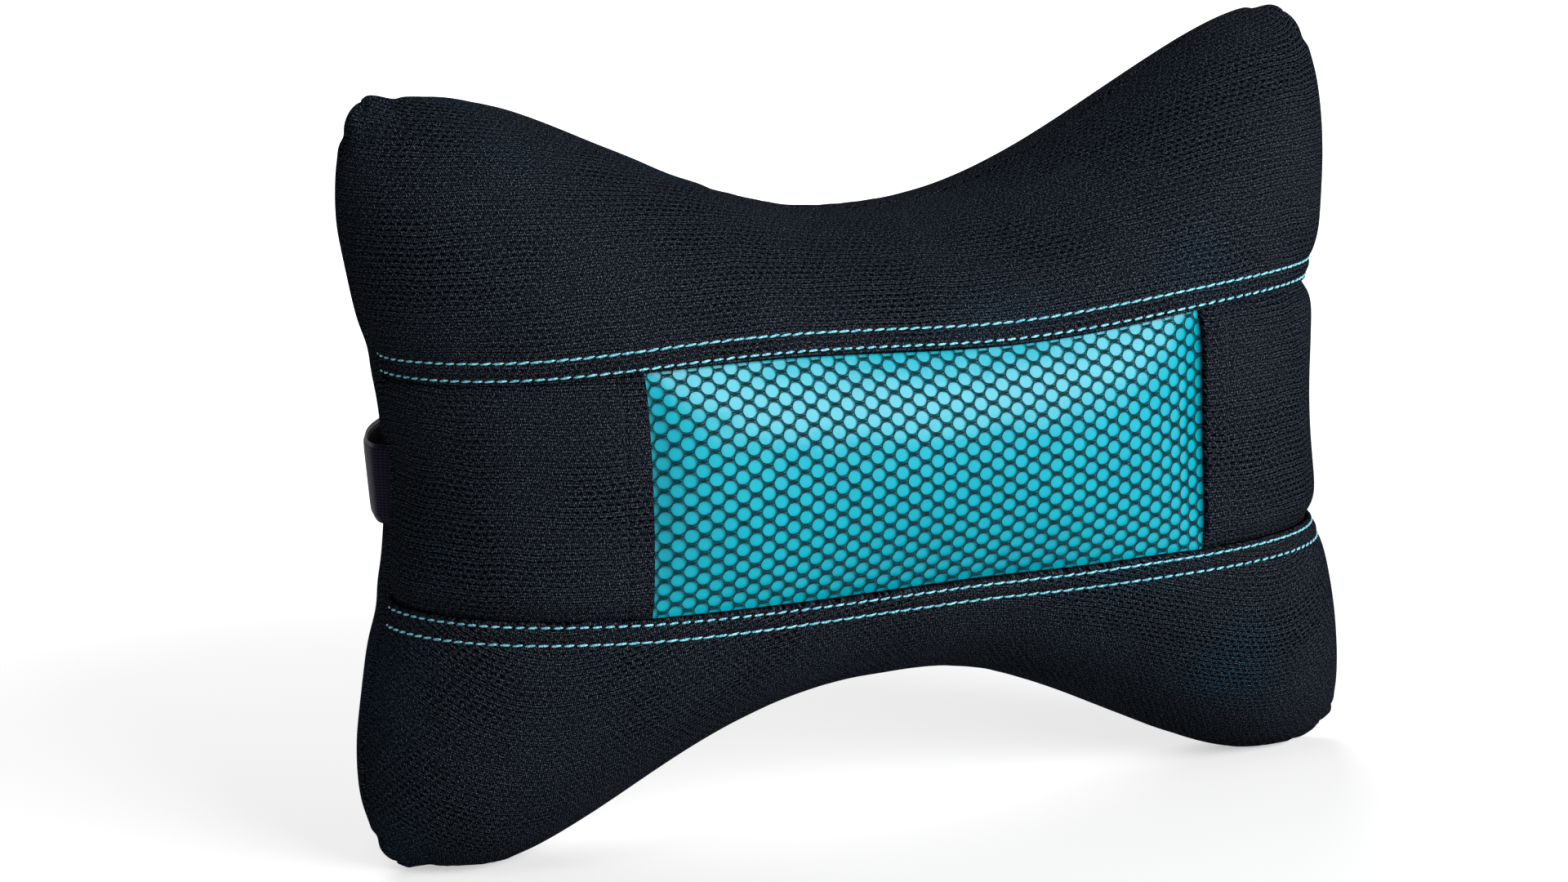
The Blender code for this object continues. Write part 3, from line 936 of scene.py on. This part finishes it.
def net_tree():
    """Sets a unit on each point of a flat lattice, then lays the net on the ground by its own flat place."""
    kinds = {"Unit": "NodeSocketObject", "Ground": "NodeSocketObject", "Thread": "NodeSocketMaterial"}
    tree, identifiers, given, add = node_group("knotted_net", kinds)
    unit = add("GeometryNodeObjectInfo", {"Object": given["Unit"]}).outputs["Geometry"]
    placed = add("GeometryNodeInstanceOnPoints", {"Points": given["Geometry"], "Instance": unit})
    real = add("GeometryNodeRealizeInstances", {"Geometry": placed.outputs["Instances"]})
    ground = add("GeometryNodeObjectInfo", {"Object": given["Ground"]}).outputs["Geometry"]
    flat = add("GeometryNodeInputNamedAttribute", {"Name": "cloth"}, data_type="FLOAT_VECTOR")
    where = add("GeometryNodeInputPosition").outputs[0]
    under, outward = (
        add(
            "GeometryNodeSampleUVSurface",
            {"Mesh": ground, "Value": add(source).outputs[0], "UV Map": flat.outputs[0], "Sample UV": where},
            data_type="FLOAT_VECTOR",
        ).outputs["Value"]
        for source in ("GeometryNodeInputPosition", "GeometryNodeInputNormal")
    )
    height = add("ShaderNodeSeparateXYZ", {0: where}).outputs["Z"]
    raised = add("ShaderNodeVectorMath", {0: outward, "Scale": height}, operation="SCALE").outputs[0]
    total = add("ShaderNodeVectorMath", {0: under, 1: raised}, operation="ADD").outputs[0]
    move = add("GeometryNodeSetPosition", {"Geometry": real.outputs["Geometry"], "Position": total})
    made_real(add, move.outputs["Geometry"], given["Thread"])
    return tree, identifiers


def net_lattice(ground_uv):
    """Flat points of the staggered holes that fit on the ground."""
    low, high = ground_uv.min(axis=(0, 1)), ground_uv.max(axis=(0, 1))
    left, right = low[0] + 0.6 * RING_WIDTH, high[0] - HOLE_COLUMNS / 2 - 0.6 * LOOP_LENGTH
    points = []
    for column in range(-60, 60):
        for row in range(-40, 40):
            x = column * HOLE_COLUMNS / 2
            y = (row + 0.5 * (column % 2)) * HOLE_ROWS
            if left < x < right and low[1] + RING_HEIGHT < y < high[1] - RING_HEIGHT:
                points.append((x, y, 0))
    return np.array(points)


def net_piece():
    below = insert_ground(NET_DEPTH, NET_SPACING)
    u, v = arc(below, 0), arc(below, 1)
    middle = below.shape[1] // 2
    flat_u = np.broadcast_to(u[:, middle : middle + 1] - u[len(u) // 2, middle], u.shape)
    flat_v = np.broadcast_to(v[len(v) // 2 : len(v) // 2 + 1] - v[len(v) // 2, middle], v.shape)
    uv = np.stack([flat_u, flat_v], axis=-1)
    faces = grid_quads(*below.shape[:2], 0, True)
    # The net thread is black; the teal in its colours is painted turquoise light from the sheet behind,
    # showing through the fine threads.
    black = thread_finish("black_net", (0.000, 0.010, 0.014), (0.004, 0.070, 0.090), 0.5, 0.0)
    ground = finished_piece("net_ground", below.reshape(-1, 3), faces, black, uv.reshape(-1, 2))
    points, quads = net_unit()
    unit = bare_object("net_unit", points, quads)
    lattice = bare_object("net_lattice", net_lattice(uv), [])
    tree, identifiers = net_tree()
    given = {"Unit": unit, "Ground": ground, "Thread": black}
    values = {identifiers[title]: value for title, value in given.items()}
    net = grown(lattice, tree, values, "black_insert_net")
    bpy.data.objects.remove(unit)
    bpy.data.objects.remove(ground)
    return net


net = net_piece()
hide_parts("insert_net")
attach(net, "root")


# The turquoise topstitching
# Four rows of lockstitch in bright polyester thread hold the folded edges down. Each stitch is a short dash
# of twisted thread that dips into the cloth at both ends.

THREAD = 0.00060
STITCH_GAP = 0.03  # share of the pitch between one stitch and the next
STITCH_SLANT = math.radians(7)
STITCH_JITTER = 0.06  # in radians
STITCH_STEPS, STITCH_SIDES = 7, 8
STITCH_BLUNTNESS = 2.6
STITCH_END = 0.03  # what is left of its section's area at its ends
STITCH_FLATNESS = 0.85
STITCH_DIP = 0.00030
STITCH_LIFT = 0.30  # of the thread's thickness, from the cloth to its middle
PLY_TURNS, PLY_RELIEF = 1.6, 0.10


def stitch_unit(name, length, thickness):
    """One stitch along X, arched out of the cloth, as thick in the middle as the thread."""
    share = np.linspace(-1, 1, STITCH_STEPS + 1)
    width = thickness / 2 * np.sqrt(np.clip(1 - np.abs(share) ** STITCH_BLUNTNESS, STITCH_END, 1))
    turn = 2 * np.pi * np.arange(STITCH_SIDES) / STITCH_SIDES
    twist = np.pi * PLY_TURNS * share
    swell = 1 + PLY_RELIEF * np.cos(2 * (turn[None, :] - twist[:, None]))
    y = width[:, None] * np.cos(turn)[None, :] * swell
    z = width[:, None] * STITCH_FLATNESS * np.sin(turn)[None, :] * swell - STITCH_DIP * (share**2)[:, None]
    x = np.broadcast_to((length / 2 * share)[:, None], y.shape)
    points = np.stack([x, y, z], axis=-1).reshape(-1, 3)
    faces = []
    for step in range(STITCH_STEPS):
        for side in range(STITCH_SIDES):
            beside = (side + 1) % STITCH_SIDES
            corners = ((step, side), (step + 1, side), (step + 1, beside), (step, beside))
            faces.append([a * STITCH_SIDES + b for a, b in corners])
    faces.append(list(range(STITCH_SIDES)))
    faces.append([STITCH_STEPS * STITCH_SIDES + side for side in reversed(range(STITCH_SIDES))])
    return bare_object(name, points, [face[::-1] for face in faces])


def stitching_tree():
    """Sets a stitch at each pitch along a line, turned to the line and to the cloth under it."""
    kinds = {
        "Stitch": "NodeSocketObject",
        "Pitch": "NodeSocketFloat",
        "Slant": "NodeSocketFloat",
        "Thread": "NodeSocketMaterial",
    }
    tree, identifiers, given, add = node_group("stitching", kinds)
    line = add("GeometryNodeMeshToCurve", {"Mesh": given["Geometry"]}).outputs["Curve"]
    spaced = add("GeometryNodeResampleCurve", {"Curve": line, "Length": given["Pitch"]}, mode="LENGTH")
    tangent = add("GeometryNodeInputTangent").outputs[0]
    normal = add("GeometryNodeInputNamedAttribute", {"Name": "cloth_normal"}, data_type="FLOAT_VECTOR")
    turned = add("FunctionNodeAlignRotationToVector", {"Vector": tangent}, axis="X").outputs["Rotation"]
    inputs = {"Rotation": turned, "Vector": normal.outputs["Attribute"]}
    upright = add("FunctionNodeAlignRotationToVector", inputs, axis="Z", pivot_axis="X").outputs["Rotation"]
    spread = {"Min": -STITCH_JITTER, "Max": STITCH_JITTER, "Seed": 5}
    jitter = add("FunctionNodeRandomValue", spread, data_type="FLOAT").outputs[1]
    lean = add("ShaderNodeMath", {0: given["Slant"], 1: jitter}, operation="ADD").outputs[0]
    axes = add("ShaderNodeCombineXYZ", {"Z": lean}).outputs[0]
    slanted = add("FunctionNodeEulerToRotation", {"Euler": axes}).outputs["Rotation"]
    inputs = {"Rotation": upright, "Rotate By": slanted}
    rotation = add("FunctionNodeRotateRotation", inputs, rotation_space="LOCAL").outputs["Rotation"]
    unit = add("GeometryNodeObjectInfo", {"Object": given["Stitch"]}).outputs["Geometry"]
    inputs = {"Points": spaced.outputs["Curve"], "Instance": unit, "Rotation": rotation}
    made_real(add, add("GeometryNodeInstanceOnPoints", inputs).outputs["Instances"], given["Thread"])
    return tree, identifiers


STITCHING, STITCH_INPUTS = stitching_tree()


def stitch_row(name, points, normals, thickness, finish):
    """A row of stitches through the points, which lie on the cloth."""
    raised = points + normals * (thickness * STITCH_LIFT)
    line = bare_object(name + "_line", raised, [], [(i, i + 1) for i in range(len(points) - 1)])
    carried = line.data.attributes.new("cloth_normal", "FLOAT_VECTOR", "POINT")
    carried.data.foreach_set("vector", normals.astype(np.float32).ravel())
    stitch = stitch_unit(name + "_unit", STITCH_PITCH * (1 - STITCH_GAP), thickness)
    given = {"Stitch": stitch, "Pitch": STITCH_PITCH, "Slant": STITCH_SLANT, "Thread": finish}
    row = grown(line, STITCHING, {STITCH_INPUTS[title]: value for title, value in given.items()}, name)
    bpy.data.objects.remove(stitch)
    return row


BRIGHT_THREAD = thread_finish("turquoise_thread", (0.01, 0.26, 0.40), (0.42, 0.92, 1.0), 0.5, 0.1)
for node, (line, out) in TOPSTITCH_LINES.items():
    row = stitch_row("turquoise_" + node, line[2:-2], out[2:-2], THREAD, BRIGHT_THREAD)
    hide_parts(node)
    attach(row, "root")


# The black stitching beside the insert
# One row of lockstitch in thin black thread on each side panel, 6.7 mm from the folded edge. It catches the
# net and the sheet behind the panel.

BLACK_THREAD = 0.00055
DARK_THREAD = thread_finish("black_thread", (0.002, 0.003, 0.004), (0.014, 0.016, 0.021), 0.6, 0.0)
for node, (line, out) in INSERT_STITCH_LINES.items():
    row = stitch_row("black_" + node, line, out, BLACK_THREAD, DARK_THREAD)
    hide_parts(node)
    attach(row, "root")


# The headrest strap
# Flat woven elastic, 20 mm wide and 1.5 mm thick, caught in both side seams. It stands slack behind the back
# and goes round the headrest in use.

STRAP_WIDTH = 0.020
STRAP_DROP = 0.0014  # its middle lies this far under the middle line
STRAP = 0.0015
STRAP_SLACK = 0.0100
STRAP_CLEARANCE = 0.0008
STRAP_RISE = 0.6
STRAP_LEAN = 0.35  # its lower edge stands this share nearer to the back than its upper edge
STRAP_START = 0.962  # its ends leave the seams on their back side
STRAP_CAUGHT = 0.0024  # how far its ends run in
STRAP_STEPS, STRAP_POINTS = 200, 13  # along it, and across each face
STRAP_ROUNDNESS = 8  # power: how square its edges are
STRAP_RIB = 0.00075
STRAP_WEFT = 0.0006


def elastic_finish():
    elastic = Finish("black_elastic", Roughness=0.5, Specular_IOR_Level=0.02)
    along, over, _ = elastic.split(elastic.cloth())
    rib = elastic.maths("SINE", elastic.maths("MULTIPLY", over, 2 * math.pi / STRAP_RIB))
    weft = elastic.maths("SINE", elastic.maths("MULTIPLY", along, 2 * math.pi / STRAP_WEFT))
    height = elastic.maths("ADD", rib, elastic.maths("MULTIPLY", weft, 0.5))
    share = elastic.maths("MULTIPLY_ADD", height, 0.33, 0.5)
    tint = elastic.ramp(share, (0, (0.002, 0.002, 0.004)), (1, (0.020, 0.018, 0.036)))
    return elastic.finished(tint, height, 0.5, 0.0001)


def strap_piece():
    columns = np.linspace(-STRAP_START, STRAP_START, STRAP_STEPS + 1)
    line = stuffed(across_of(columns), np.zeros(1), BACK)[:, 0]
    line[:, 2] = MID_HEIGHT - STRAP_DROP
    along = np.gradient(line, axis=0)
    along[0], along[-1] = (0, 1, 0), (0, -1, 0)
    out = np.stack([-along[:, 1], along[:, 0], 0 * along[:, 0]], axis=-1)
    out = unit_length(out)
    run = np.concatenate([[0], np.cumsum(np.linalg.norm(np.diff(line, axis=0), axis=1))])
    stand = STRAP_CLEARANCE + STRAP_SLACK * np.sin(np.pi * (run / run[-1])) ** STRAP_RISE
    from_end = np.minimum(run, run[-1] - run)
    stand = stand - STRAP_CAUGHT * np.exp(-((from_end / STRAP_CLEARANCE) ** 2) / 4)
    across_width = np.linspace(-0.5, 0.5, STRAP_POINTS)
    rounding = STRAP / 2 * np.sqrt(1 - (np.abs(across_width) * 2) ** STRAP_ROUNDNESS)
    rings, uv = [], []
    loop = [(w, 1, r) for w, r in zip(across_width, rounding)]
    loop += [(w, -1, r) for w, r in zip(across_width[-2:0:-1], rounding[-2:0:-1])]
    for point, direction, height, reach in zip(line, out, stand, run):
        for w, side, r in loop:
            depth = height * (1 + STRAP_LEAN * w) + STRAP / 2 + side * r
            rings.append(point + direction * depth + np.array([0, 0, w * STRAP_WIDTH]))
            uv.append((reach, w * STRAP_WIDTH))
    size = len(loop)
    faces = []
    for first in range(0, STRAP_STEPS * size, size):
        for here in range(size):
            after = (here + 1) % size
            faces.append((first + here, first + after, first + size + after, first + size + here))
    faces.append(tuple(range(size))[::-1])
    faces.append(tuple(STRAP_STEPS * size + index for index in range(size)))
    return finished_piece("elastic_headrest_strap", np.array(rings), faces, elastic_finish(), np.array(uv))


strap = strap_piece()
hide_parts("headrest_strap")
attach(strap, "root")


# The floor, the lamps and the camera
# A white floor that shows as pure white to the camera and keeps the pillow's shadow, and large soft lamps.

FLOOR_SIZE = 6.0
FLOOR_GLOW = 0.50  # near the pillow: lifts the floor to white and leaves the shadow
GLOW_START, GLOW_FULL = 0.25, 0.80  # metres from the pillow
WORLD_LIGHT = 0.06


def seen_directly(add):
    """1 for rays from the camera, for mirrored rays and for rays through glass."""
    path = add("ShaderNodeLightPath").outputs
    total = path["Is Camera Ray"]
    for kind in ("Is Glossy Ray", "Is Transmission Ray"):
        total = add("ShaderNodeMath", {0: total, 1: path[kind]}, operation="ADD", use_clamp=True).outputs[0]
    return total


def white_floor():
    floor = Finish("white_floor", Roughness=0.9, Specular_IOR_Level=0.0)
    floor.shader.inputs["Base Color"].default_value = (0.6, 0.6, 0.6, 1)
    floor.shader.inputs["Emission Color"].default_value = (1, 1, 1, 1)
    away = floor.add("ShaderNodeVectorMath", {0: floor.place()}, operation="LENGTH").outputs["Value"]
    lift = floor.ranged(away, GLOW_START, GLOW_FULL, FLOOR_GLOW, 1.0, "LINEAR")
    glow = floor.maths("MULTIPLY", seen_directly(floor.add), lift)
    floor.tree.links.new(glow, floor.shader.inputs["Emission Strength"])
    corners = FLOOR_SIZE / 2 * np.array([(-1, -1, 0), (1, -1, 0), (1, 1, 0), (-1, 1, 0)])
    return finished_piece("floor", corners, [(0, 1, 2, 3)], floor.material)


white_floor()


def softbox(name, azimuth, elevation, distance, width, height, radiance):
    """A rectangular lamp aimed at the middle of the pillow. Azimuth 0 is in front, positive to the right."""
    lamp = bpy.data.lights.new(name, "AREA")
    lamp.shape = "RECTANGLE"
    lamp.size, lamp.size_y = width, height
    lamp.energy = radiance * math.pi * width * height
    a, e = math.radians(azimuth), math.radians(elevation)
    away = Vector((math.sin(a) * math.cos(e), -math.cos(a) * math.cos(e), math.sin(e)))
    made = in_scene(name, lamp)
    made.location = Vector((0, 0, MID_HEIGHT)) + away * distance
    made.rotation_euler = away.to_track_quat("Z", "Y").to_euler()


softbox("key_softbox", 22, 20, 1.3, 1.10, 0.58, 11.8)
softbox("left_softbox", -45, 44, 1.3, 0.5, 0.5, 3.5)
softbox("back_softbox", 170, 32, 1.3, 1.0, 0.7, 7)

world = bpy.data.worlds.new("studio")
world.use_nodes = True
world.node_tree.nodes.clear()
add = node_adder(world.node_tree)
plain, bright = (
    add("ShaderNodeBackground", {"Color": (1, 1, 1, 1), "Strength": strength}).outputs[0]
    for strength in (WORLD_LIGHT, 1.0)
)
shown = add("ShaderNodeMixShader", {0: seen_directly(add), 1: plain, 2: bright}).outputs[0]
add("ShaderNodeOutputWorld", {"Surface": shown})
bpy.context.scene.world = world

CAMERA_YAW = math.radians(23.914)  # to the left of the front
CAMERA_ELEVATION = math.radians(12.017)
CAMERA_ROLL = math.radians(-1.677)
CAMERA_DISTANCE = 1.545
FOCAL_PIXELS = 7418.8  # in the photograph's 1920 x 1080 frame
PHOTO_WIDTH, PHOTO_HEIGHT = 1920, 1080
AIM_X, AIM_Y = 1036.8, 521.1  # where the pillow's middle falls in the photograph, in pixels


def photo_camera():
    yaw, up, roll = CAMERA_YAW, CAMERA_ELEVATION, CAMERA_ROLL
    ahead = Vector((math.sin(yaw) * math.cos(up), math.cos(yaw) * math.cos(up), -math.sin(up)))
    level = Vector((math.cos(yaw), -math.sin(yaw), 0))
    upward = Vector((math.sin(yaw) * math.sin(up), math.cos(yaw) * math.sin(up), math.cos(up)))
    right = level * math.cos(roll) + upward * math.sin(roll)
    above = upward * math.cos(roll) - level * math.sin(roll)
    lens = bpy.data.cameras.new("camera")
    lens.sensor_width = 36
    lens.lens = FOCAL_PIXELS / PHOTO_WIDTH * lens.sensor_width
    lens.shift_x = (PHOTO_WIDTH / 2 - AIM_X) / PHOTO_WIDTH
    lens.shift_y = (AIM_Y - PHOTO_HEIGHT / 2) / PHOTO_WIDTH
    lens.clip_start, lens.clip_end = 0.05, 20
    made = in_scene("camera", lens)
    turned = Matrix((right, above, -ahead)).transposed().to_4x4()
    middle = Vector((0, SEAM_PLANE, MID_HEIGHT))
    made.matrix_world = Matrix.Translation(middle - ahead * CAMERA_DISTANCE) @ turned
    bpy.context.scene.camera = made


photo_camera()
bpy.context.scene.view_settings.view_transform = "Standard"
